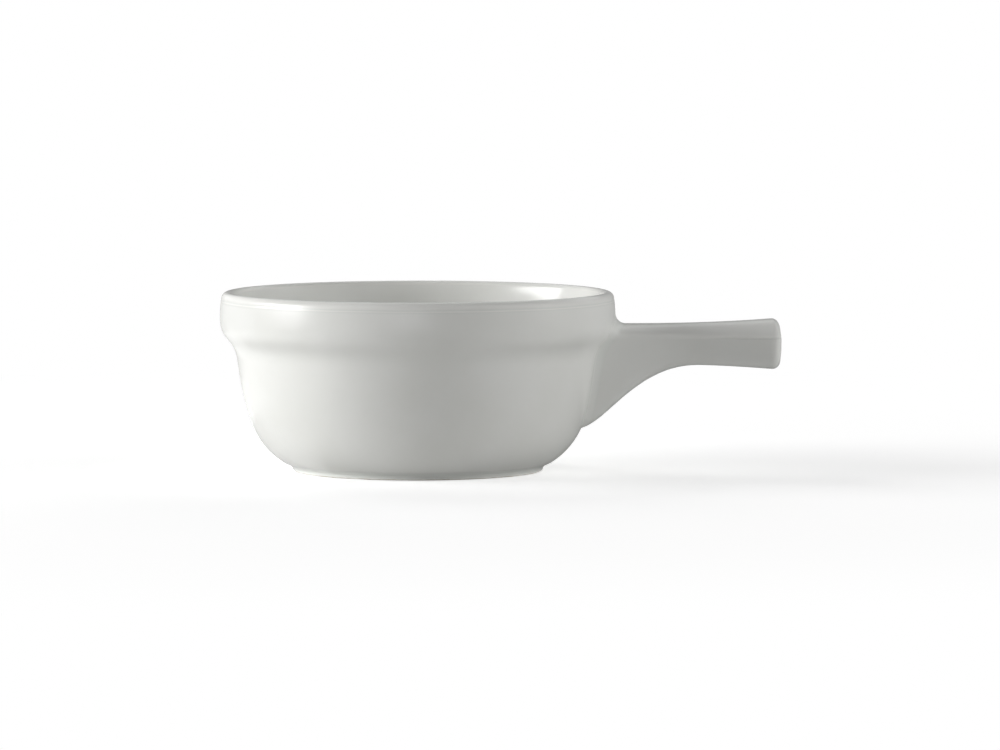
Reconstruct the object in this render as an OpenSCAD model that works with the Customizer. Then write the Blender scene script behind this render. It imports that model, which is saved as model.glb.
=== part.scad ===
// Handled casserole dish: a glazed stoneware bowl with a collared rim, and a stick handle
// that was cast apart and stuck to the bowl's wall with a layer of clay slip.
// Millimetres. The origin is the centre of the foot on the table, +Z is up, +X runs along the handle.

/* [Bowl] */
// Outside diameter of the rim collar
rim_d = 127; // [110:0.5:160]
// Height from the table to the top of the lip
bowl_h = 57.5; // [50:0.5:75]
// Thickness of the wall under the collar
wall_t = 5.3; // [3.5:0.1:7]
// Thickness of the floor over the foot recess
floor_t = 5.8; // [4:0.1:8]
// Radius of the flat middle of the floor
floor_flat_r = 26; // [15:0.5:32]

/* [Rim] */
// How far the collar stands out from the wall under it
collar_step = 5.5; // [3:0.1:7]
// Height of the S-curve that leads from the wall out to the collar
ogee_h = 13.2; // [9:0.1:16]
// Height of the collar's upright face
collar_face_h = 6.2; // [4:0.1:9]
// Outer rounding of the lip
lip_out_r = 2.2; // [1.5:0.1:3]
// Inner rounding of the lip
lip_in_r = 1.8; // [1:0.1:2.5]
// Angle by which the inside just under the lip leans out from upright
mouth_slope = 15; // [5:1:20]
// How far the collar's face leans in towards the lip
collar_lean = 0.3; // [0:0.05:0.6]
// Depth of the fine shoulder line under the lip
lip_line = 0.15; // [0.1:0.05:0.5]

/* [Foot] */
// Outside diameter of the foot ring at the table
foot_d = 80.4; // [60:0.5:90]
// Width of the foot ring
foot_ring_w = 5; // [3.5:0.1:8]
// Height of the foot, where the belly starts
foot_h = 3; // [2:0.1:5]
// How far outside the foot ring the belly starts
foot_flare = 3.2; // [2:0.1:5]
// Depth of the recess inside the foot ring
recess_d = 1.4; // [1:0.1:2.5]
// Rounding of the foot ring's edges
foot_round = 0.8; // [0.4:0.1:1.2]

/* [Handle] */
// Length of the handle from the collar to its tip
handle_len = 53.2; // [45:0.1:70]
// Height of the lip over the handle's top at the root
handle_drop = 10.3; // [8:0.1:14]
// Distance from the collar to the handle's neck
neck_len = 26.5; // [22:0.1:32]
// Thickness at the neck
neck_t = 13.5; // [11:0.1:17]
// Thickness at the tip
tip_t = 16; // [12:0.1:20]
// How far the top rises from the root to the tip
tip_rise = 1.85; // [0:0.05:3]
// Height over the table at which the web's lower line reaches the wall
tail_h = 14.2; // [11:0.1:16]
// Width at the root
root_w = 24; // [18:0.5:30]
// Width at the neck
neck_w = 20; // [15:0.5:26]
// Width at the tip
tip_w = 26; // [18:0.5:32]
// Height of the crowned top over the side ridge, at the root
root_crown = 2.6; // [2:0.1:4]
// Height of the crowned top over the side ridge, at the tip
tip_crown = 5.3; // [4:0.1:7]
// Rounding of the tip's side and lower edges
tip_round = 2.6; // [1.5:0.1:3.5]
// Rounding of the tip's upper edge
tip_top_round = 3.2; // [1.5:0.1:3.8]
// How far the tip's end face bulges
tip_dome = 0.5; // [0.2:0.1:1.5]

/* [Joint] */
// How far the fillet runs out from the wall along the handle
fillet_len = 3.4; // [2.5:0.1:5]
// How far the fillet spreads along the wall beside the handle
side_fillet = 2.4; // [1.8:0.1:3.5]
// How far the fillet climbs up the collar over the handle
top_fillet = 3.4; // [2:0.1:4.5]
// How far the fillet runs down the wall under the handle's tail
tail_fillet = 0.7; // [0.4:0.1:2]
// Thickness of the slip layer between the handle and the wall
slip_t = 0.4; // [0.3:0.05:0.6]
// Thickness of the slip's sponged edge
slip_edge = 0.24; // [0.2:0.01:0.28]
// Gap left between the slip's flat facets and the round wall
seat_gap = 0.15; // [0.13:0.01:0.18]

/* [Hidden] */
glaze_white = [0.93, 0.93, 0.90];
slip_white = [0.90, 0.89, 0.85];

// Steps along each curve of the bowl's profile
arc_steps = 8;
curve_steps = 18;
// Points over the crown of the handle's section
crown_pts = 14;
// Largest steps that the facets on the wall may take: down the root's sides, and between its rings
side_pitch = 1.7;
root_pitch = 1.2;
// Rings across the handle's end face, and round its fillet, its slip and its tip
face_rings = 3;
fillet_rings = 4;
flank_rings = 2;
tip_rings = 5;
// Distance between rings along the handle
ring_pitch = 2.8;

// Curve weights: how far each Bezier handle lies across its curve's width and up its height
belly_low = [0.594, 0.174];
belly_high = [0.823, 0.43];
flare_high = [0.89, 0.55];
hollow_low = [0.28, 1];
web_low = [0.188, 0];
web_high = [0.46, 1.012];
// Shares of the ogee's and the flare's height and of the hollow's depth that their Bezier handles take
ogee_pull = 0.55;
flare_pull = 0.35;
hollow_pull = 0.55;
// Slope at which the foot's cove leaves the ring, and the length of its Bezier handles
cove_slope = 70;
cove_pull = 1.4;

// Section shape: power of the crown, power of the underside at the root and at the tip, and
// how far the sides draw in below the ridge at the tip
crown_power = 2.5;
root_power = 3;
tip_power = 4.5;
tip_taper = 0.2;
// Powers by which the top's rise, the ridge's fall and the flare past the neck grow along the handle
rise_power = 2.4;
ridge_power = 1.3;
flare_power = 1.4;
// Share of the top fillet's climb that the side ridge follows up the collar
ridge_lift = 0.7;
// Length over which the handle's rings turn from the wall's shape to an upright plane
blend_len = 14;

rim_r = rim_d / 2;
foot_r = foot_d / 2;
wall_r = rim_r - collar_step;
lip_r = rim_r - collar_lean - lip_line;
mouth_r = lip_r - lip_out_r - lip_in_r;
collar_top = bowl_h - lip_out_r;
ogee_top = collar_top - collar_face_h;
ogee_foot = ogee_top - ogee_h;
floor_z = recess_d + floor_t;
recess_r = foot_r - foot_ring_w;
recess_round = recess_d - foot_round;

function mix(a, b, t) = a + (b - a) * t;
function within(a, b, share) = [mix(a[0], b[0], share[0]), mix(a[1], b[1], share[1])];
function ease(t) = let (u = min(max(t, 0), 1)) u * u * (3 - 2 * u);
function unit(v) = v / norm(v);
function arc(centre, r, from, to) =
    [for (i = [0:arc_steps]) let (a = mix(from, to, i / arc_steps)) centre + r * [cos(a), sin(a)]];
function bezier_at(p, t) =
    let (s = 1 - t) s ^ 3 * p[0] + 3 * s ^ 2 * t * p[1] + 3 * s * t ^ 2 * p[2] + t ^ 3 * p[3];
function bezier(p, steps = curve_steps) = [for (i = [0:steps]) bezier_at(p, i / steps)];
function after_first(points) = [for (i = [1:len(points) - 1]) points[i]];

// Outside of the bowl, as [radius, height] from the foot up to the collar's top edge
foot_side = [foot_r, foot_round];
belly_start = [foot_r + foot_flare, foot_h];
belly_end = [wall_r, ogee_foot];
belly_first = within(belly_start, belly_end, belly_low);
belly_last = within(belly_start, belly_end, belly_high);
collar_foot = [rim_r, ogee_top];
cove = [
    foot_side,
    foot_side + cove_pull * [cos(cove_slope), sin(cove_slope)],
    belly_start - cove_pull * unit(belly_first - belly_start),
    belly_start
];
ogee = [
    belly_end,
    belly_end + ogee_pull * ogee_h * unit(belly_end - belly_last),
    collar_foot - [0, ogee_pull * ogee_h],
    collar_foot
];
face_h = collar_top - lip_line - ogee_top;
collar_face = [
    collar_foot,
    collar_foot + [0, face_h / 3],
    collar_foot + [-collar_lean / 3, face_h * 2 / 3],
    collar_foot + [-collar_lean, face_h]
];
outside = concat(
    arc(foot_side - [foot_round, 0], foot_round, -90, 0),
    after_first(bezier(cove, arc_steps)),
    after_first(bezier([belly_start, belly_first, belly_last, belly_end])),
    after_first(bezier(ogee)),
    after_first(bezier(collar_face, arc_steps))
);
lip_middle = [mouth_r + lip_in_r, bowl_h - lip_in_r];
lip = concat(
    arc([lip_r - lip_out_r, collar_top], lip_out_r, 0, 90),
    after_first(arc(lip_middle, lip_in_r, 90, 180 - mouth_slope))
);
// Inside of the bowl, from the lip down to the flat of the floor and its middle
mouth = lip_middle + lip_in_r * [-cos(mouth_slope), sin(mouth_slope)];
throat = [wall_r - wall_t, ogee_foot];
flare_h = mouth[1] - throat[1];
floor_edge = [floor_flat_r, floor_z];
flare = [
    mouth,
    mouth - flare_pull * flare_h * [tan(mouth_slope), 1],
    within(mouth, throat, flare_high),
    throat
];
hollow = [
    throat,
    throat + hollow_pull * (ogee_foot - floor_z) * unit(throat - flare[2]),
    within(throat, floor_edge, hollow_low),
    floor_edge
];
inside = concat(after_first(bezier(flare)), after_first(bezier(hollow)), [[0, floor_z]]);
// The recess under the floor and the inner edge of the foot ring
base = concat(
    [[0, recess_d]],
    arc([recess_r - recess_round, foot_round], recess_round, 90, 0),
    after_first(arc([recess_r + foot_round, foot_round], foot_round, 180, 270))
);

// Radius of the bowl's outside at a height, and the x of that wall beside the handle's middle plane
wall_table = [for (p = outside) [p[1], p[0]]];
function wall_at(z) = lookup(z, wall_table);
function wall_x(y, z) = sqrt(wall_at(z) ^ 2 - y ^ 2);

// The handle's lines, by the distance s out from the collar
handle_top = bowl_h - handle_drop;
loft_end = handle_len - tip_dome - tip_round;
function top_z(s) = handle_top + tip_rise * (max(s, 0) / handle_len) ^ rise_power;
function ridge_z(s) = top_z(s) - mix(root_crown, tip_crown, (max(s, 0) / loft_end) ^ ridge_power);
function past_neck(s) = max(0, (s - neck_len) / (loft_end - neck_len));
function half_w(s) = s < neck_len
    ? mix(root_w, neck_w, ease(s / neck_len)) / 2
    : mix(neck_w, tip_w, past_neck(s) ^ flare_power) / 2;

tail = [wall_at(tail_h), tail_h];
neck = [rim_r + neck_len, top_z(neck_len) - neck_t];
tip_low = top_z(loft_end) - tip_t;
web = [tail, within(tail, neck, web_low), within(tail, neck, web_high), neck];
function under_at(s) = s < neck_len
    ? bezier_at(web, s / neck_len)
    : [rim_r + s, mix(neck[1], tip_low, past_neck(s) ^ flare_power)];

// Points round the underside of the section, and rings across the root, by the root's own height
side_h = ridge_z(0) + ridge_lift * top_fillet - tail_h;
under_pts = 2 * ceil(90 / asin(side_pitch / side_h));
root_rings = ceil((handle_top - tail_h) / 2 / root_pitch);

// Section at s as [y, z] points, grown outwards at the side, the top and the underside by grow:
// the crown first, then round the underside
function outline(s, grow) =
    let (
        w = half_w(s) + grow[0],
        ridge = ridge_z(s) + ridge_lift * max(grow[1], 0),
        crown = top_z(s) + grow[1] - ridge,
        depth = ridge - under_at(s)[1] + grow[2],
        power = mix(root_power, tip_power, ease(s / neck_len)),
        taper = tip_taper * ease(s / loft_end)
    ) concat(
        [for (i = [0:crown_pts - 1]) let (c = cos(180 * i / crown_pts))
            [w * c, ridge + crown * (1 - abs(c) ^ crown_power)]],
        [for (i = [0:under_pts - 1]) let (b = 180 * i / under_pts, u = sin(b), side = -sign(cos(b)))
            [side * w * (1 - u ^ power) ^ (1 / power) * (1 - taper * u), ridge - depth * u]]
    );

// A ring of [x, y, z] at s: in the slip it lies s away from the wall, past that its lower end slides
// onto the web's line, and further out it turns to a plane that leans with the web
function ring_x(s, y, z) =
    let (
        low = under_at(s),
        drop = (top_z(s) - z) / (top_z(s) - low[1]),
        past_slip = ease((s - slip_t) / (fillet_len - slip_t)),
        on_wall = wall_x(y, z) + mix(s, low[0] - wall_at(low[1]), drop * past_slip),
        on_plane = mix(rim_r + s, low[0], drop)
    ) mix(on_wall, on_plane, ease((s - slip_t) / blend_len));
function ring(s, grow) = [for (p = outline(s, grow)) [ring_x(s, p[0], p[1]), p[0], p[1]]];

// The fillet's ring at an angle from the handle's side (0) round to the wall (90)
function fillet_s(a) = fillet_len * (1 - sin(a));
function fillet_grow(a) = (1 - cos(a)) * [side_fillet, top_fillet, tail_fillet];
function fillet_ring(a) = ring(fillet_s(a), fillet_grow(a));
root_angle = asin(1 - slip_t / fillet_len);
edge_angle = asin(1 - slip_edge / fillet_len);

// The fillet's ring at an angle, shrunk by q towards its middle and laid on the wall, d away from it
function wall_ring(a, q, d) =
    let (s = fillet_s(a), middle = (top_z(s) + under_at(s)[1]) / 2)
    [for (p = outline(s, fillet_grow(a)))
        let (y = q * p[0], z = mix(middle, p[1], q)) [wall_x(y, z) + d, y, z]];
root_face = [for (k = [1:root_rings - 1]) wall_ring(root_angle, k / root_rings, slip_t)];
root_middle = wall_ring(root_angle, 0, slip_t)[0];

// A closed skin over a list of rings, with a point at each end, whose triangles mirror on the handle's
// middle plane; flip turns its faces over
module skin(first, rings, last, flip = false) {
    n = len(rings[0]);
    m = len(rings);
    points = concat([first], [for (r = rings) each r], [last]);
    start = [for (i = [0:n - 1]) [0, 1 + i, 1 + (i + 1) % n]];
    sides = [for (j = [0:m - 2], i = [0:n - 1])
        let (
            a = 1 + j * n + i,
            b = 1 + j * n + (i + 1) % n,
            minus_y = i >= crown_pts / 2 && i < (crown_pts + n) / 2
        )
        each minus_y ? [[a, a + n, b], [a + n, b + n, b]] : [[a, a + n, b + n], [a, b + n, b]]];
    end = [for (i = [0:n - 1])
        let (base = 1 + (m - 1) * n)
        [1 + m * n, base + (i + 1) % n, base + i]];
    faces = concat(start, sides, end);
    polyhedron(points, flip ? [for (f = faces) [f[2], f[1], f[0]]] : faces, convexity = 6);
}

module bowl() {
    color(glaze_white) rotate_extrude($fn = 180) polygon(concat(outside, lip, inside, base));
}

module handle() {
    fillet = [for (i = [0:fillet_rings]) fillet_ring(root_angle * (1 - i / fillet_rings))];
    body_steps = ceil((loft_end - fillet_len) / ring_pitch);
    body = [for (i = [1:body_steps]) ring(mix(fillet_len, loft_end, i / body_steps), [0, 0, 0])];
    tip_x = rim_r + loft_end;
    tip = [for (i = [1:tip_rings]) let (a = 90 * i / tip_rings, cut = 1 - cos(a))
        [for (p = outline(loft_end, -cut * [tip_round, tip_top_round, tip_round]))
            [tip_x + tip_round * sin(a), p[0], p[1]]]];
    face_x = tip_x + tip_round;
    middle = top_z(loft_end) - tip_t / 2;
    face = [for (i = [1:face_rings]) let (q = 1 - i / (face_rings + 1))
        [for (p = tip[tip_rings - 1])
            [face_x + tip_dome * (1 - q ^ 2), q * p[1], mix(middle, p[2], q)]]];
    color(glaze_white) skin(
        root_middle,
        concat(root_face, fillet, body, tip, face),
        [face_x + tip_dome, 0, middle]
    );
}

module luting_slip() {
    flank = [for (i = [0:flank_rings]) fillet_ring(mix(root_angle, edge_angle, i / flank_rings))];
    seat = [for (k = [0:root_rings - 1]) wall_ring(edge_angle, 1 - k / root_rings, seat_gap)];
    color(slip_white) skin(
        root_middle,
        concat(root_face, flank, seat),
        wall_ring(edge_angle, 0, seat_gap)[0],
        flip = true
    );
}

bowl();
handle();
luting_slip();
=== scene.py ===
import math

import bpy
import numpy as np
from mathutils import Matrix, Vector


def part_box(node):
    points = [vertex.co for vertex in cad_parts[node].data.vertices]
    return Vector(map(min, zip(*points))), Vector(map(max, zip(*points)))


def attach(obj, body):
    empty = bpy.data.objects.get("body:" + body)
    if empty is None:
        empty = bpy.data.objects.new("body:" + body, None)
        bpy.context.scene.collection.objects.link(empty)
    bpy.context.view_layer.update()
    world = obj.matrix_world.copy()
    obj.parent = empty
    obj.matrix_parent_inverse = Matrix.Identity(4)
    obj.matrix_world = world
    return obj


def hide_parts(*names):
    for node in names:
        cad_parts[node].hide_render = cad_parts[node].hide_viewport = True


# The looks of a white-glazed stoneware casserole dish: the bowl, its stick handle and the clay slip
# that joins them, each a closed mesh in the place of its CAD node, under studio light on a white floor.
# Shapes are worked out in millimetres and turned to metres when a mesh is made.

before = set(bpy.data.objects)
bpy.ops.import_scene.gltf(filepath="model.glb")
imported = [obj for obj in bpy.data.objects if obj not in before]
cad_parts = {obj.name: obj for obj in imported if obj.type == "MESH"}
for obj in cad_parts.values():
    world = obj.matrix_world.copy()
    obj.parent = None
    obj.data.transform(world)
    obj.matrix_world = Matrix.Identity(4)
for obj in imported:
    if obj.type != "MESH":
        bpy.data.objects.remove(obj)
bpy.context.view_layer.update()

MM = 0.001

# Overall sizes, from the frame; the rim is no wider than the narrowest side of its faceted box
bowl_low, bowl_high = (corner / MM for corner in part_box("bowl"))
RIM_R = min(-bowl_low.x, bowl_high.x)
BOWL_H = bowl_high.z
HANDLE_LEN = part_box("handle")[1].x / MM - RIM_R

# The bowl: wall and floor, rim, foot
WALL_T = 5.3
FLOOR_T = 5.8
FLOOR_FLAT_R = 26
COLLAR_STEP = 5.5
OGEE_H = 13.2
COLLAR_FACE_H = 6.2
LIP_OUT_R = 2.2
LIP_IN_R = 1.8
MOUTH_SLOPE = 15
COLLAR_LEAN = 0.3
LIP_LINE = 0.15
LIP_LINE_H = 0.9
FOOT_R = 40.2
FOOT_RING_W = 5
FOOT_H = 3
FOOT_FLARE = 3.2
RECESS_D = 1.4
FOOT_ROUND = 0.8

# The handle: lengths, thicknesses, widths, roundings
HANDLE_DROP = 10.3
NECK_LEN = 26.5
NECK_T = 13.5
TIP_T = 16
TIP_RISE = 1.85
TAIL_H = 14.2
ROOT_W = 24
NECK_W = 20
TIP_W = 26
ROOT_CROWN = 2.6
TIP_CROWN = 5.3
TIP_ROUND = 2.6
TIP_TOP_ROUND = 3.2
TIP_DOME = 0.5
# How far the glaze rounds the side ridge off, along both of its flanks
ROOT_SOFT = 1.8
TIP_SOFT = 0.3
# The fine step under the ridge towards the tip: its depth, the heights under the ridge that it lies
# between, and the share of the way past the neck at which it is full
STEP_IN = 0.3
STEP_FROM, STEP_TO = 0.05, 0.6
STEP_FULL = 0.5

# The joint: how far the fillet runs along the handle, and beside, over and under it along the wall;
# the slip, and how far the slip's edge sinks into the wall so that no gap shows
FILLET_LEN = 3.4
SIDE_FILLET = 2.4
TOP_FILLET = 3.4
TAIL_FILLET = 0.7
SLIP_T = 0.4
SEAT_GAP = 0.15
EDGE_SINK = 0.12

# Curve weights and powers, as in the CAD model
BELLY_LOW = (0.594, 0.174)
BELLY_HIGH = (0.823, 0.43)
FLARE_HIGH = (0.89, 0.55)
HOLLOW_LOW = (0.28, 1)
WEB_LOW = (0.188, 0)
WEB_HIGH = (0.46, 1.012)
OGEE_PULL = 0.55
FLARE_PULL = 0.35
HOLLOW_PULL = 0.55
COVE_SLOPE = 70
COVE_PULL = 1.4
CROWN_POWER = 2.5
ROOT_POWER = 3
TIP_POWER = 4.5
TIP_TAPER = 0.2
RISE_POWER = 2.4
RIDGE_POWER = 1.3
RIDGE_LIFT = 0.7
FLARE_POWER = 1.4
BLEND_LEN = 14

# Mesh density of the bowl: points round it, and steps of each stretch of its profile
AROUND = 192
RECESS_STEPS = 12
RECESS_ROUND_STEPS = 5
FOOT_ROUND_STEPS = 6
FOOT_RING_STEPS = 5
COVE_STEPS = 10
BELLY_STEPS = 34
OGEE_STEPS = 30
COLLAR_STEPS = 8
LIP_LINE_STEPS = 8
LIP_OUT_STEPS = 12
LIP_IN_STEPS = 10
FLARE_STEPS = 22
HOLLOW_STEPS = 36
FLOOR_STEPS = 10

# Mesh density of the handle: points of half a section, the length under the ridge that the step's
# points cover, points of a section's exact outline, rows of each stretch, and the pitch of the body's rows
CROWN_COUNT = 14
RIDGE_COUNT = 8
STEP_COUNT = 8
UNDER_COUNT = 34
STEP_RUN = 1.6
FINE = 400
SLIP_ROWS = 8
FILLET_ROWS = 10
ROOT_ROWS = 14
TIP_ROWS = 12
FACE_ROWS = 8
BODY_PITCH = 0.8


def mix(a, b, t):
    return a + (b - a) * t


def ease(t):
    t = np.clip(t, 0, 1)
    return t * t * (3 - 2 * t)


def point(x, y):
    return np.array((x, y), float)


def within(a, b, share):
    return a + (b - a) * np.array(share)


def unit(v):
    return v / np.linalg.norm(v)


def arc(centre, radius, start, end, steps):
    a = np.radians(np.linspace(start, end, steps + 1))
    return centre + radius * np.column_stack((np.cos(a), np.sin(a)))


def bezier_at(p, t):
    t = np.atleast_1d(t)[:, None]
    s = 1 - t
    return s**3 * p[0] + 3 * s**2 * t * p[1] + 3 * s * t**2 * p[2] + t**3 * p[3]


def bezier(p, steps):
    return bezier_at(p, np.linspace(0, 1, steps + 1))


def line(a, b, steps):
    return mix(a, b, np.linspace(0, 1, steps + 1)[:, None])


def join(*runs):
    """One line from runs that each start where the one before ends."""
    return np.vstack([runs[0]] + [run[1:] for run in runs[1:]])


def stretch(points, start, end, count):
    """Points evenly spaced along a line from one distance to another, or to its end."""
    steps = np.linalg.norm(np.diff(points, axis=0), axis=1)
    along = np.concatenate(([0], np.cumsum(steps)))
    at = np.linspace(start, along[-1] if end is None else end, count)
    return np.column_stack([np.interp(at, along, points[:, k]) for k in range(2)])


def length(points):
    return np.linalg.norm(np.diff(points, axis=0), axis=1).sum()


# The bowl's profile as (radius, height), from the middle of the base round to the middle of the floor
wall_r = RIM_R - COLLAR_STEP
lip_r = RIM_R - COLLAR_LEAN - LIP_LINE
mouth_r = lip_r - LIP_OUT_R - LIP_IN_R
collar_top = BOWL_H - LIP_OUT_R
ogee_top = collar_top - COLLAR_FACE_H
ogee_foot = ogee_top - OGEE_H
floor_z = RECESS_D + FLOOR_T
recess_r = FOOT_R - FOOT_RING_W
recess_round = RECESS_D - FOOT_ROUND

foot_side = point(FOOT_R, FOOT_ROUND)
belly_start = point(FOOT_R + FOOT_FLARE, FOOT_H)
belly_end = point(wall_r, ogee_foot)
belly_first = within(belly_start, belly_end, BELLY_LOW)
belly_last = within(belly_start, belly_end, BELLY_HIGH)
collar_foot = point(RIM_R, ogee_top)
face_h = collar_top - LIP_LINE_H - ogee_top
lip_line_foot = collar_foot + point(-COLLAR_LEAN, face_h)
lip_start = point(lip_r, collar_top)
cove_slope = math.radians(COVE_SLOPE)
cove = (
    foot_side,
    foot_side + COVE_PULL * point(math.cos(cove_slope), math.sin(cove_slope)),
    belly_start - COVE_PULL * unit(belly_first - belly_start),
    belly_start,
)
ogee = (
    belly_end,
    belly_end + OGEE_PULL * OGEE_H * unit(belly_end - belly_last),
    collar_foot - point(0, OGEE_PULL * OGEE_H),
    collar_foot,
)
collar_face = (
    collar_foot,
    collar_foot + point(0, face_h / 3),
    collar_foot + point(-COLLAR_LEAN / 3, face_h * 2 / 3),
    lip_line_foot,
)
lip_step = (
    lip_line_foot,
    lip_line_foot + point(0, LIP_LINE_H / 2),
    lip_start - point(0, LIP_LINE_H / 2),
    lip_start,
)
mouth_slope = math.radians(MOUTH_SLOPE)
lip_middle = point(mouth_r + LIP_IN_R, BOWL_H - LIP_IN_R)
mouth = lip_middle + LIP_IN_R * point(-math.cos(mouth_slope), math.sin(mouth_slope))
throat = point(wall_r - WALL_T, ogee_foot)
floor_edge = point(FLOOR_FLAT_R, floor_z)
flare_h = mouth[1] - throat[1]
flare = (
    mouth,
    mouth - FLARE_PULL * flare_h * point(math.tan(mouth_slope), 1),
    within(mouth, throat, FLARE_HIGH),
    throat,
)
hollow = (
    throat,
    throat + HOLLOW_PULL * (ogee_foot - floor_z) * unit(throat - flare[2]),
    within(throat, floor_edge, HOLLOW_LOW),
    floor_edge,
)
base = join(
    line(point(0, RECESS_D), point(recess_r - recess_round, RECESS_D), RECESS_STEPS),
    arc(point(recess_r - recess_round, FOOT_ROUND), recess_round, 90, 0, RECESS_ROUND_STEPS),
    arc(point(recess_r + FOOT_ROUND, FOOT_ROUND), FOOT_ROUND, 180, 270, FOOT_ROUND_STEPS),
    line(point(recess_r + FOOT_ROUND, 0), point(FOOT_R - FOOT_ROUND, 0), FOOT_RING_STEPS),
)
outside = join(
    arc(foot_side - point(FOOT_ROUND, 0), FOOT_ROUND, -90, 0, FOOT_ROUND_STEPS),
    bezier(cove, COVE_STEPS),
    bezier((belly_start, belly_first, belly_last, belly_end), BELLY_STEPS),
    bezier(ogee, OGEE_STEPS),
    bezier(collar_face, COLLAR_STEPS),
    bezier(lip_step, LIP_LINE_STEPS),
)
lip = join(
    arc(point(lip_r - LIP_OUT_R, collar_top), LIP_OUT_R, 0, 90, LIP_OUT_STEPS),
    arc(lip_middle, LIP_IN_R, 90, 180 - MOUTH_SLOPE, LIP_IN_STEPS),
)
inside = join(
    bezier(flare, FLARE_STEPS),
    bezier(hollow, HOLLOW_STEPS),
    line(floor_edge, point(0, floor_z), FLOOR_STEPS),
)
profile = join(base, outside, lip, inside)


def wall_at(z):
    return np.interp(z, outside[:, 1], outside[:, 0])


def wall_x(y, z):
    return np.sqrt(wall_at(z) ** 2 - y**2)


def wall_normals(points):
    """The wall's outward normals at points on it."""
    step = 0.1
    x, y, z = points.T
    lean = (wall_at(z + step) - wall_at(z - step)) / (2 * step)
    normals = np.column_stack((x, y, -lean * np.hypot(x, y)))
    return normals / np.linalg.norm(normals, axis=1)[:, None]


# The handle's lines, by the distance s out from the collar
handle_top = BOWL_H - HANDLE_DROP
loft_end = HANDLE_LEN - TIP_DOME - TIP_ROUND


def top_z(s):
    return handle_top + TIP_RISE * (max(s, 0) / HANDLE_LEN) ** RISE_POWER


def ridge_z(s):
    return top_z(s) - mix(ROOT_CROWN, TIP_CROWN, (max(s, 0) / loft_end) ** RIDGE_POWER)


def past_neck(s):
    return max(0, (s - NECK_LEN) / (loft_end - NECK_LEN))


def half_width(s):
    if s < NECK_LEN:
        return mix(ROOT_W, NECK_W, ease(s / NECK_LEN)) / 2
    return mix(NECK_W, TIP_W, past_neck(s) ** FLARE_POWER) / 2


tail = point(wall_at(TAIL_H), TAIL_H)
neck = point(RIM_R + NECK_LEN, top_z(NECK_LEN) - NECK_T)
tip_low = top_z(loft_end) - TIP_T
web = (tail, within(tail, neck, WEB_LOW), within(tail, neck, WEB_HIGH), neck)


def under_at(s):
    if s < NECK_LEN:
        return bezier_at(web, s / NECK_LEN)[0]
    return point(RIM_R + s, mix(neck[1], tip_low, past_neck(s) ** FLARE_POWER))


def section(s, side, top, under):
    """The handle's section at s as (y, z) rows all the way round, grown by side, top and under.

    A crown lies over the side ridges and a rounded box under them, with a fine step near the tip, and
    the ridge is rounded off."""
    w = half_width(s) + side
    ridge = ridge_z(s) + RIDGE_LIFT * max(top, 0)
    depth = ridge - under_at(s)[1] + under
    power = mix(ROOT_POWER, TIP_POWER, ease(s / NECK_LEN))
    taper = TIP_TAPER * ease(s / loft_end)
    c = np.linspace(0, 1, FINE)
    crown = np.column_stack((w * c, ridge + (top_z(s) + top - ridge) * (1 - c**CROWN_POWER)))
    u = np.sin(np.linspace(0, math.pi / 2, FINE))
    drop = depth * u
    stepped = ease(past_neck(s) / STEP_FULL) * ease((drop - STEP_FROM) / (STEP_TO - STEP_FROM))
    side_y = w * (1 - u**power) ** (1 / power) * (1 - taper * u) * (1 - stepped * STEP_IN / w)
    below = np.column_stack((side_y, ridge - drop))
    soft = mix(ROOT_SOFT, TIP_SOFT, ease(s / loft_end))
    over = stretch(crown, 0, length(crown) - soft, CROWN_COUNT)
    under_run = join(
        stretch(below, soft, soft + STEP_RUN, STEP_COUNT),
        stretch(below, soft + STEP_RUN, None, UNDER_COUNT),
    )
    t = np.linspace(0, 1, RIDGE_COUNT + 1)[:, None]
    bend = (1 - t) ** 2 * over[-1] + 2 * t * (1 - t) * below[0] + t**2 * under_run[0]
    half = join(over, bend, under_run)
    return np.vstack((half, half[-2:0:-1] * (-1, 1)))


def ring_x(s, y, z):
    """The x of a section's points: on the slip they lie s off the wall, further out they turn upright."""
    low = under_at(s)
    drop = (top_z(s) - z) / (top_z(s) - low[1])
    past_slip = ease((s - SLIP_T) / (FILLET_LEN - SLIP_T))
    on_wall = wall_x(y, z) + mix(s, low[0] - wall_at(low[1]), drop * past_slip)
    on_plane = mix(RIM_R + s, low[0], drop)
    return mix(on_wall, on_plane, ease((s - SLIP_T) / BLEND_LEN))


def ring(s, side=0, top=0, under=0):
    yz = section(s, side, top, under)
    return np.column_stack((ring_x(s, yz[:, 0], yz[:, 1]), yz))


# The fillet's angle on the wall, and where the slip ends and the handle starts
WALL_ANGLE = math.pi / 2
ROOT_ANGLE = math.asin(1 - SLIP_T / FILLET_LEN)


def fillet_s(angle):
    """The distance s of the fillet's section at an angle."""
    return FILLET_LEN * (1 - math.sin(angle))


def fillet_grow(angle):
    """How far the fillet grows a section beside, over and under the handle."""
    away = 1 - math.cos(angle)
    return away * SIDE_FILLET, away * TOP_FILLET, away * TAIL_FILLET


def fillet_ring(angle):
    return ring(fillet_s(angle), *fillet_grow(angle))


def wall_ring(angle, share, off):
    """The fillet's section at an angle, drawn in to a share of its size and laid on the wall, off it."""
    s = fillet_s(angle)
    middle = (top_z(s) + under_at(s)[1]) / 2
    yz = mix(point(0, middle), section(s, *fillet_grow(angle)), share)
    return np.column_stack((wall_x(yz[:, 0], yz[:, 1]) + off, yz))


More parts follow.
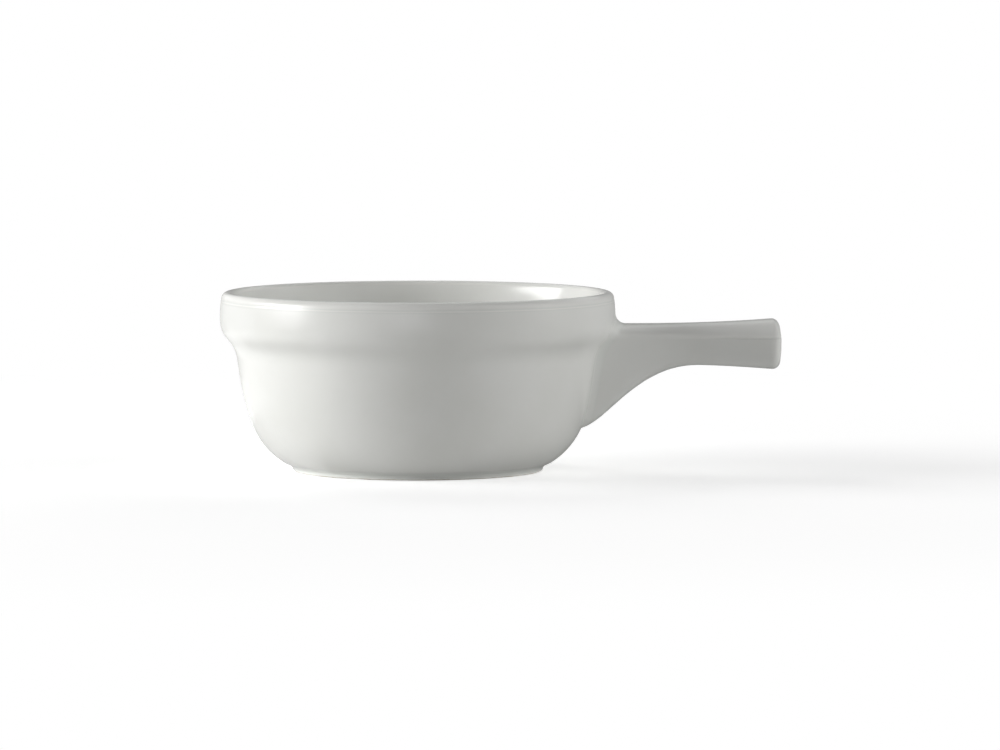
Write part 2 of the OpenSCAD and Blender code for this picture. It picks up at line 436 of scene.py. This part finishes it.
def handle_rows():
    """Rings of the slip's outside from its edge on the wall, and of the handle's to its end face's rim."""
    edge = wall_ring(WALL_ANGLE, 1, -EDGE_SINK)
    slip = [edge] + [fillet_ring(a) for a in np.linspace(WALL_ANGLE, ROOT_ANGLE, SLIP_ROWS + 1)[1:]]
    fillet = [fillet_ring(a) for a in np.linspace(ROOT_ANGLE, 0, FILLET_ROWS + 1)]
    body_rows = math.ceil((loft_end - FILLET_LEN) / BODY_PITCH)
    body = [ring(s) for s in np.linspace(FILLET_LEN, loft_end, body_rows + 1)[1:]]
    tip = []
    for a in np.linspace(0, math.pi / 2, TIP_ROWS + 1)[1:]:
        cut = math.cos(a) - 1
        yz = section(loft_end, cut * TIP_ROUND, cut * TIP_TOP_ROUND, cut * TIP_ROUND)
        x = RIM_R + loft_end + TIP_ROUND * math.sin(a)
        tip.append(np.column_stack((np.full(len(yz), x), yz)))
    return slip, fillet + body + tip


def end_face(rim):
    """Rings and middle of the domed end face inside its rim."""
    face_x = RIM_R + loft_end + TIP_ROUND
    middle = np.array((face_x + TIP_DOME, 0, top_z(loft_end) - TIP_T / 2))
    rings = []
    for share in np.linspace(1, 0, FACE_ROWS + 1)[1:-1]:
        face = mix(middle, rim, share)
        face[:, 0] = face_x + TIP_DOME * (1 - share**2)
        rings.append(face)
    return rings, middle


def skin(first, rings, last):
    """Points and faces of a closed skin over rings, with a point at each end, facing outwards."""
    m, n = len(rings), len(rings[0])
    points = np.vstack([[first], *rings, [last]])
    i = np.arange(n)
    j = (i + 1) % n
    faces = np.column_stack((np.zeros(n, int), 1 + i, 1 + j)).tolist()
    for k in range(m - 1):
        low = 1 + k * n
        faces += np.column_stack((low + i, low + n + i, low + n + j, low + j)).tolist()
    low = 1 + (m - 1) * n
    faces += np.column_stack((np.full(n, 1 + m * n), low + j, low + i)).tolist()
    volume = sum(np.dot(points[f[0]], np.cross(points[f[1]], points[f[2]])) for f in faces)
    volume += sum(np.dot(points[f[0]], np.cross(points[f[2]], points[f[3]])) for f in faces if len(f) == 4)
    if volume < 0:
        faces = [f[::-1] for f in faces]
    return points, faces


def mesh_of(name, points, faces):
    mesh = bpy.data.meshes.new(name)
    mesh.from_pydata((points * MM).tolist(), [], faces)
    mesh.shade_smooth()
    mesh.update()
    return mesh


def vertex_normals(mesh):
    normals = np.zeros(len(mesh.vertices) * 3, np.float32)
    mesh.vertex_normals.foreach_get("vector", normals)
    return normals.reshape(-1, 3)


# Mean bend, in 1/mm, at which the glaze starts to run thin on an edge, where it takes a painted highlight,
# or to pool in a hollow, where it takes painted shade, and at which it is thinnest or deepest
THIN_FROM, THIN_FULL = 0.06, 0.4
POOL_FROM, POOL_FULL = 0.01, 0.16


def mark_glaze(mesh):
    """Writes how thin the glaze runs on edges and how deep it pools in hollows, from the mesh's bend; the
    first also sets a painted highlight on edges, the second painted shade in hollows.
    """
    co = np.zeros(len(mesh.vertices) * 3)
    mesh.vertices.foreach_get("co", co)
    co = co.reshape(-1, 3) / MM
    normals = vertex_normals(mesh)
    ends = np.zeros(len(mesh.edges) * 2, int)
    mesh.edges.foreach_get("vertices", ends)
    a, b = ends.reshape(-1, 2).T
    way = co[b] - co[a]
    square = (way**2).sum(1)
    bend = np.zeros(len(co))
    count = np.zeros(len(co))
    for start, sign in ((a, 1), (b, -1)):
        np.add.at(bend, start, -2 * sign * (way * normals[start]).sum(1) / square)
        np.add.at(count, start, 1)
    bend /= count
    # The edge mask marks thin glaze and a painted highlight on convex edges
    thin_and_highlight = ease((bend - THIN_FROM) / (THIN_FULL - THIN_FROM))
    # The hollow mask marks pooled glaze and painted shade in hollows
    pool_and_shade = ease((-bend - POOL_FROM) / (POOL_FULL - POOL_FROM))
    for name, values in (("thin_and_highlight", thin_and_highlight), ("pool_and_shade", pool_and_shade)):
        attribute = mesh.attributes.new(name, "FLOAT", "POINT")
        attribute.data.foreach_set("value", values.astype(np.float32))


def piece(mesh, node, material):
    """Puts a mesh in the place of a CAD node, on the part's only body."""
    mark_glaze(mesh)
    mesh.materials.append(material)
    made = bpy.data.objects.new(mesh.name, mesh)
    bpy.context.scene.collection.objects.link(made)
    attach(made, "root")
    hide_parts(node)


def add(tree, kind, inputs=None, **settings):
    """Adds a shader node; an input is a value or another node's output socket."""
    node = tree.nodes.new(kind)
    for key, value in settings.items():
        setattr(node, key, value)
    for key, value in (inputs or {}).items():
        if isinstance(value, bpy.types.NodeSocket):
            tree.links.new(value, node.inputs[key])
        else:
            node.inputs[key].default_value = value
    return node


def noise(tree, where, scale, detail):
    """A noise texture on the piece, with features about 1/scale metres wide."""
    made = add(tree, "ShaderNodeTexNoise", {"Vector": where, "Scale": scale, "Detail": detail})
    return made.outputs["Fac"]


def remap(tree, value, low, high, to_low=0.0, to_high=1.0):
    ends = {"Value": value, "From Min": low, "From Max": high, "To Min": to_low, "To Max": to_high}
    return add(tree, "ShaderNodeMapRange", ends, interpolation_type="SMOOTHSTEP").outputs["Result"]


def math_node(tree, operation, a, b):
    return add(tree, "ShaderNodeMath", {0: a, 1: b}, operation=operation).outputs[0]


def blend_colour(tree, share, a, b):
    """Colour a where share is 0 and b where it is 1."""
    made = tree.nodes.new("ShaderNodeMix")
    made.data_type = "RGBA"
    for socket, value in ((made.inputs[0], share), (made.inputs[6], a), (made.inputs[7], b)):
        if isinstance(value, bpy.types.NodeSocket):
            tree.links.new(value, socket)
        else:
            socket.default_value = value
    return made.outputs[2]


def blank_material(name):
    material = bpy.data.materials.new(name)
    material.use_nodes = True
    material.node_tree.nodes.clear()
    return material


WHITE = (1, 1, 1, 1)

# Glaze and clay colours, linear
GLAZE_WHITE = (0.88, 0.885, 0.855, 1)
GLAZE_CLOUD = (0.855, 0.86, 0.825, 1)
# Lighter than the glaze on convex edges, where the glaze runs thin: a painted highlight
GLAZE_THIN_HIGHLIGHT = (0.95, 0.945, 0.905, 1)
# Greener where the glaze pools in hollows, and darker there as painted shade
GLAZE_POOLED_SHADE = (0.83, 0.845, 0.81, 1)
# The slip's pooled glaze, darker still: painted shade in the crease at the handle's root
SLIP_POOLED_SHADE = (0.79, 0.805, 0.765, 1)
BARE_CLAY = (0.60, 0.545, 0.46, 1)
BARE_CLAY_DARK = (0.47, 0.415, 0.34, 1)
# Height over the table at which the wiped foot ends and the glaze starts, how far that line wanders,
# and half the height over which it fades
GLAZE_LINE = 0.2 * MM
GLAZE_LINE_WANDER = 0.2 * MM
GLAZE_LINE_SOFT = 0.08 * MM
# Height of the glaze's fine peel, of its slow waves and of the bare clay's grain
PEEL_H = 0.006 * MM
WAVE_H = 0.06 * MM
GRAIN_H = 0.05 * MM
# Scale and detail of the noise in the glaze's clouds, peel, waves and edge, and in the clay's grain
CLOUD_NOISE = (38, 4)
PEEL_NOISE = (620, 2)
WAVE_NOISE = (70, 1)
LINE_NOISE = (160, 3)
GRAIN_NOISE = (2600, 3)
# Values of a noise between which its effect grows from none to full
WIDE_SPREAD = (0.3, 0.7)
CLOUD_SPREAD = (0.35, 0.68)
THIN_SPREAD = (0.3, 0.75)
GRAIN_SPREAD = (0.35, 0.7)
# Share of the thin glaze's colour on an edge, which is lighter as a painted highlight, roughness of the
# glaze and the bare clay, refraction
THIN_HIGHLIGHT_SHARE = (0.35, 0.9)
GLAZE_ROUGH = (0.16, 0.23)
CLAY_ROUGH = 0.85
GLAZE_IOR = 1.5


def glaze_material(name, pooled_and_shaded):
    """Glossy white glaze, thin on edges with a painted highlight and deeper in hollows with painted shade,
    with a foot that was wiped bare.
    """
    material = blank_material(name)
    tree = material.node_tree
    where = add(tree, "ShaderNodeTexCoord").outputs["Object"]
    clouds = noise(tree, where, *CLOUD_NOISE)
    peel = noise(tree, where, *PEEL_NOISE)
    waves = noise(tree, where, *WAVE_NOISE)
    ragged = noise(tree, where, *LINE_NOISE)
    grain = noise(tree, where, *GRAIN_NOISE)
    thin_and_highlight = add(tree, "ShaderNodeAttribute", attribute_name="thin_and_highlight").outputs["Fac"]
    pool_and_shade = add(tree, "ShaderNodeAttribute", attribute_name="pool_and_shade").outputs["Fac"]

    wander = remap(tree, ragged, *WIDE_SPREAD, -GLAZE_LINE_WANDER / 2, GLAZE_LINE_WANDER / 2)
    height = add(tree, "ShaderNodeSeparateXYZ", {0: where}).outputs["Z"]
    edge = math_node(tree, "ADD", height, wander)
    bare = remap(tree, edge, GLAZE_LINE - GLAZE_LINE_SOFT, GLAZE_LINE + GLAZE_LINE_SOFT, 1.0, 0.0)

    thin_highlight_share = math_node(tree, "MULTIPLY", thin_and_highlight, remap(tree, clouds, *THIN_SPREAD, *THIN_HIGHLIGHT_SHARE))
    clay = blend_colour(tree, remap(tree, grain, *GRAIN_SPREAD), BARE_CLAY, BARE_CLAY_DARK)
    colour = blend_colour(tree, remap(tree, clouds, *CLOUD_SPREAD), GLAZE_WHITE, GLAZE_CLOUD)
    # Hollows painted darker: painted shade over pooled glaze
    colour = blend_colour(tree, pool_and_shade, colour, pooled_and_shaded)
    # Edges painted lighter: a painted highlight over thin glaze
    colour = blend_colour(tree, thin_highlight_share, colour, GLAZE_THIN_HIGHLIGHT)
    colour = blend_colour(tree, bare, colour, clay)

    gloss = remap(tree, clouds, *WIDE_SPREAD, *GLAZE_ROUGH)
    rough = add(tree, "ShaderNodeMix", {0: bare, 2: gloss, 3: CLAY_ROUGH}, data_type="FLOAT").outputs[0]

    bump = add(tree, "ShaderNodeBump", {"Strength": 1.0, "Distance": WAVE_H, "Height": waves})
    bump = add(tree, "ShaderNodeBump", {
        "Strength": 1.0, "Distance": PEEL_H, "Height": peel, "Normal": bump.outputs["Normal"]})
    bump = add(tree, "ShaderNodeBump", {
        "Strength": bare, "Distance": GRAIN_H, "Height": grain, "Normal": bump.outputs["Normal"]})

    shader = add(tree, "ShaderNodeBsdfPrincipled", {
        "Base Color": colour, "Roughness": rough, "Normal": bump.outputs["Normal"], "IOR": GLAZE_IOR})
    add(tree, "ShaderNodeOutputMaterial", {"Surface": shader.outputs["BSDF"]})
    return material


def background_rays(tree):
    """1 for the rays that should see the white background: from the camera, a reflection or glass."""
    path = add(tree, "ShaderNodeLightPath").outputs
    seen = math_node(tree, "MAXIMUM", path["Is Camera Ray"], path["Is Glossy Ray"])
    return math_node(tree, "MAXIMUM", seen, path["Is Transmission Ray"])


# The floor: its colour, how much of its white is light of its own near the object, and in metres the
# radii between which the object's shadow fades out on it, and its size
FLOOR_COLOUR = (0.88, 0.88, 0.88, 1)
FLOOR_GLOW = 0.5
FLOOR_SHADOW_R = (0.12, 0.45)
FLOOR_SIZE = 40


def floor_material():
    """A white floor that keeps the object's shadow and fades to pure white; clear from underneath."""
    material = blank_material("white_floor")
    tree = material.node_tree
    where = add(tree, "ShaderNodeTexCoord").outputs["Object"]
    radius = add(tree, "ShaderNodeVectorMath", {0: where}, operation="LENGTH").outputs["Value"]
    far = remap(tree, radius, *FLOOR_SHADOW_R)
    paint = add(tree, "ShaderNodeBsdfDiffuse", {"Color": FLOOR_COLOUR})
    glow = add(tree, "ShaderNodeEmission", {"Color": WHITE, "Strength": FLOOR_GLOW})
    near = add(tree, "ShaderNodeAddShader", {0: paint.outputs[0], 1: glow.outputs[0]})
    white = add(tree, "ShaderNodeEmission", {"Color": WHITE, "Strength": 1.0})
    shown = add(tree, "ShaderNodeMixShader", {0: far, 1: near.outputs[0], 2: white.outputs[0]})
    floor = add(tree, "ShaderNodeMixShader", {
        0: background_rays(tree), 1: paint.outputs[0], 2: shown.outputs[0]})
    behind = add(tree, "ShaderNodeNewGeometry").outputs["Backfacing"]
    clear = add(tree, "ShaderNodeBsdfTransparent")
    sided = add(tree, "ShaderNodeMixShader", {0: behind, 1: floor.outputs[0], 2: clear.outputs[0]})
    add(tree, "ShaderNodeOutputMaterial", {"Surface": sided.outputs[0]})
    return material


# The world's light on the object
WORLD_LIGHT = 0.01


def make_world():
    world = bpy.data.worlds.new("studio")
    bpy.context.scene.world = world
    world.use_nodes = True
    tree = world.node_tree
    tree.nodes.clear()
    soft = add(tree, "ShaderNodeBackground", {"Color": WHITE, "Strength": WORLD_LIGHT})
    white = add(tree, "ShaderNodeBackground", {"Color": WHITE, "Strength": 1.0})
    both = add(tree, "ShaderNodeMixShader", {
        0: background_rays(tree), 1: soft.outputs[0], 2: white.outputs[0]})
    add(tree, "ShaderNodeOutputWorld", {"Surface": both.outputs[0]})


def toward(azimuth, elevation):
    """Direction out from the object: azimuth 0 is the photograph's side, positive to its right."""
    a, e = math.radians(azimuth), math.radians(elevation)
    return Vector((math.sin(a) * math.cos(e), -math.cos(a) * math.cos(e), math.sin(e)))


# The camera: what it looks at, its distance, its elevation, its lens and sensor, and how far it sees
LOOK_AT = Vector((0.0264, 0, 0.0306))
CAMERA_DISTANCE = 2.2
CAMERA_ELEVATION = 4.05
CAMERA_LENS = 246.6
CAMERA_SENSOR = 36
CAMERA_REACH = 100


def make_camera():
    data = bpy.data.cameras.new("camera")
    data.lens = CAMERA_LENS
    data.sensor_width = CAMERA_SENSOR
    data.clip_end = CAMERA_REACH
    camera = bpy.data.objects.new("camera", data)
    out = toward(0, CAMERA_ELEVATION)
    camera.location = LOOK_AT + out * CAMERA_DISTANCE
    camera.rotation_euler = (-out).to_track_quat("-Z", "Y").to_euler()
    bpy.context.scene.collection.objects.link(camera)
    bpy.context.scene.camera = camera


# The lamps' distance from what the camera looks at, and each lamp's azimuth and elevation in degrees,
# width and height in metres, power in watts, and whether gloss reflects it
LAMP_DISTANCE = 1.5
LAMPS = {
    "key": (-88, 18, (1.0, 0.5), 13, True),
    "key_low": (-78, 4, (0.6, 0.5), 8.4, True),
    "front": (-5, 4, (0.5, 0.5), 2.6, True),
    "fill": (88, 13, (0.8, 0.7), 7, False),
    "fill_high": (66, 38, (0.8, 0.8), 3.2, False),
    "back_left": (-150, 34, (0.5, 0.7), 4.6, False),
    "back_right": (150, 20, (0.9, 0.9), 4.4, False),
}


def soft_box(name, azimuth, elevation, size, power, mirrored):
    """A rectangular lamp that faces the object, and that gloss reflects if mirrored."""
    light = bpy.data.lights.new(name, "AREA")
    light.shape = "RECTANGLE"
    light.size, light.size_y = size
    light.energy = power
    lamp = bpy.data.objects.new(name, light)
    out = toward(azimuth, elevation)
    lamp.location = LOOK_AT + out * LAMP_DISTANCE
    lamp.rotation_euler = (-out).to_track_quat("-Z", "Y").to_euler()
    lamp.visible_glossy = mirrored
    bpy.context.scene.collection.objects.link(lamp)


# Grey cards that keep the reflection of the white floor off the glaze's edges: a mat round the dish
# with a standing screen at its front and its back, and a smaller, lighter mat and a low screen on the key
# light's side. Their greys, the azimuths that they span in degrees, and their sizes in metres
MAT_GREY = 0.15
SCREEN_GREY = 0.3
KEY_GREY = 0.55
MAT_SPAN = (-45, 205)
FRONT_SPAN = (-45, 70)
BACK_SPAN = (70, 205)
KEY_SPAN = (205, 315)
MAT_IN = 0.03
MAT_OUT = 0.25
KEY_MAT_OUT = 0.105
MAT_LIFT = 0.0005
FRONT_SCREEN_H = 0.13
BACK_SCREEN_H = 0.15
KEY_SCREEN_H = 0.08
CARD_STEPS = 48


def grey_card(name, span, low, high, strength):
    """A bent card between two azimuths, from a low to a high (radius, height), that only gloss reflects."""
    material = blank_material(name)
    tree = material.node_tree
    grey = add(tree, "ShaderNodeEmission", {"Color": WHITE, "Strength": strength})
    add(tree, "ShaderNodeOutputMaterial", {"Surface": grey.outputs[0]})
    points = [toward(a, 0) * r + Vector((0, 0, z))
              for a in np.linspace(*span, CARD_STEPS + 1) for r, z in (low, high)]
    faces = [(k, k + 2, k + 3, k + 1) for k in range(0, 2 * CARD_STEPS, 2)]
    mesh = bpy.data.meshes.new(name)
    mesh.from_pydata(points, [], faces)
    mesh.materials.append(material)
    card = bpy.data.objects.new(name, mesh)
    bpy.context.scene.collection.objects.link(card)
    card.visible_camera = False
    card.visible_diffuse = False
    card.visible_shadow = False


white_glaze = glaze_material("white_glaze", GLAZE_POOLED_SHADE)
# The slip's glaze, painted darker in its hollows as shade in the crease at the handle's root
fired_slip = glaze_material("fired_slip", SLIP_POOLED_SHADE)

# The bowl
turn = np.linspace(0, 2 * math.pi, AROUND, endpoint=False)
circle = np.column_stack((np.cos(turn), np.sin(turn)))
bowl_rings = [np.column_stack((r * circle, np.full(AROUND, z))) for r, z in profile[1:-1]]
bowl_skin = skin((0, 0, profile[0, 1]), bowl_rings, (0, 0, profile[-1, 1]))
piece(mesh_of("bowl_body", *bowl_skin), "bowl", white_glaze)

# The rings of the slip and the handle: their outsides, the end face, the face between them and the
# slip's seat on the wall
slip_rows, grip_rows = handle_rows()
face_rows, face_middle = end_face(grip_rows[-1])
shares = np.linspace(0, 1, ROOT_ROWS + 1)[1:-1]
root_face = [wall_ring(ROOT_ANGLE, share, SLIP_T) for share in shares]
root_middle = wall_ring(ROOT_ANGLE, 0, SLIP_T)[0]
seat = [wall_ring(WALL_ANGLE, share, SEAT_GAP) for share in shares]
seat_middle = wall_ring(WALL_ANGLE, 0, SEAT_GAP)[0]

# The wall, the slip and the handle run into each other, so the slip and the handle take their normals
# from one skin over the two that starts on the wall, and the slip's edge takes the wall's own
wall_edge = wall_ring(WALL_ANGLE, 1, 0)
whole_rows = [wall_edge] + slip_rows[1:] + grip_rows[1:] + face_rows
whole = mesh_of("whole", *skin(seat_middle, whole_rows, face_middle))
whole_normals = vertex_normals(whole)
bpy.data.meshes.remove(whole)
row_len = len(wall_edge)
whole_normals[1:1 + row_len] = wall_normals(wall_edge)
seam = 1 + (len(slip_rows) - 1) * row_len

# The slip
slip_mesh = mesh_of("slip_fillet", *skin(seat_middle, seat + slip_rows + root_face[::-1], root_middle))
normals = vertex_normals(slip_mesh)
edge_start = 1 + len(seat) * row_len
normals[edge_start:edge_start + len(slip_rows) * row_len] = whole_normals[1:seam + row_len]
slip_mesh.normals_split_custom_set_from_vertices(normals.tolist())
piece(slip_mesh, "luting_slip", fired_slip)

# The handle
grip_mesh = mesh_of("handle_grip", *skin(root_middle, root_face + grip_rows + face_rows, face_middle))
normals = vertex_normals(grip_mesh)
normals[1 + len(root_face) * row_len:] = whole_normals[seam:]
grip_mesh.normals_split_custom_set_from_vertices(normals.tolist())
piece(grip_mesh, "handle", white_glaze)

# The stage
bpy.ops.mesh.primitive_plane_add(size=FLOOR_SIZE)
floor = bpy.context.object
floor.name = "floor"
floor.data.materials.append(floor_material())
make_world()
for lamp_name, settings in LAMPS.items():
    soft_box(lamp_name, *settings)
grey_card("mat", MAT_SPAN, (MAT_IN, MAT_LIFT), (MAT_OUT, MAT_LIFT), MAT_GREY)
grey_card("front_screen", FRONT_SPAN, (MAT_OUT, MAT_LIFT), (MAT_OUT, FRONT_SCREEN_H), SCREEN_GREY)
grey_card("back_screen", BACK_SPAN, (MAT_OUT, MAT_LIFT), (MAT_OUT, BACK_SCREEN_H), SCREEN_GREY)
grey_card("key_mat", KEY_SPAN, (MAT_IN, MAT_LIFT), (KEY_MAT_OUT, MAT_LIFT), KEY_GREY)
grey_card("key_screen", KEY_SPAN, (MAT_OUT, MAT_LIFT), (MAT_OUT, KEY_SCREEN_H), KEY_GREY)
make_camera()
bpy.context.scene.view_settings.view_transform = "Standard"
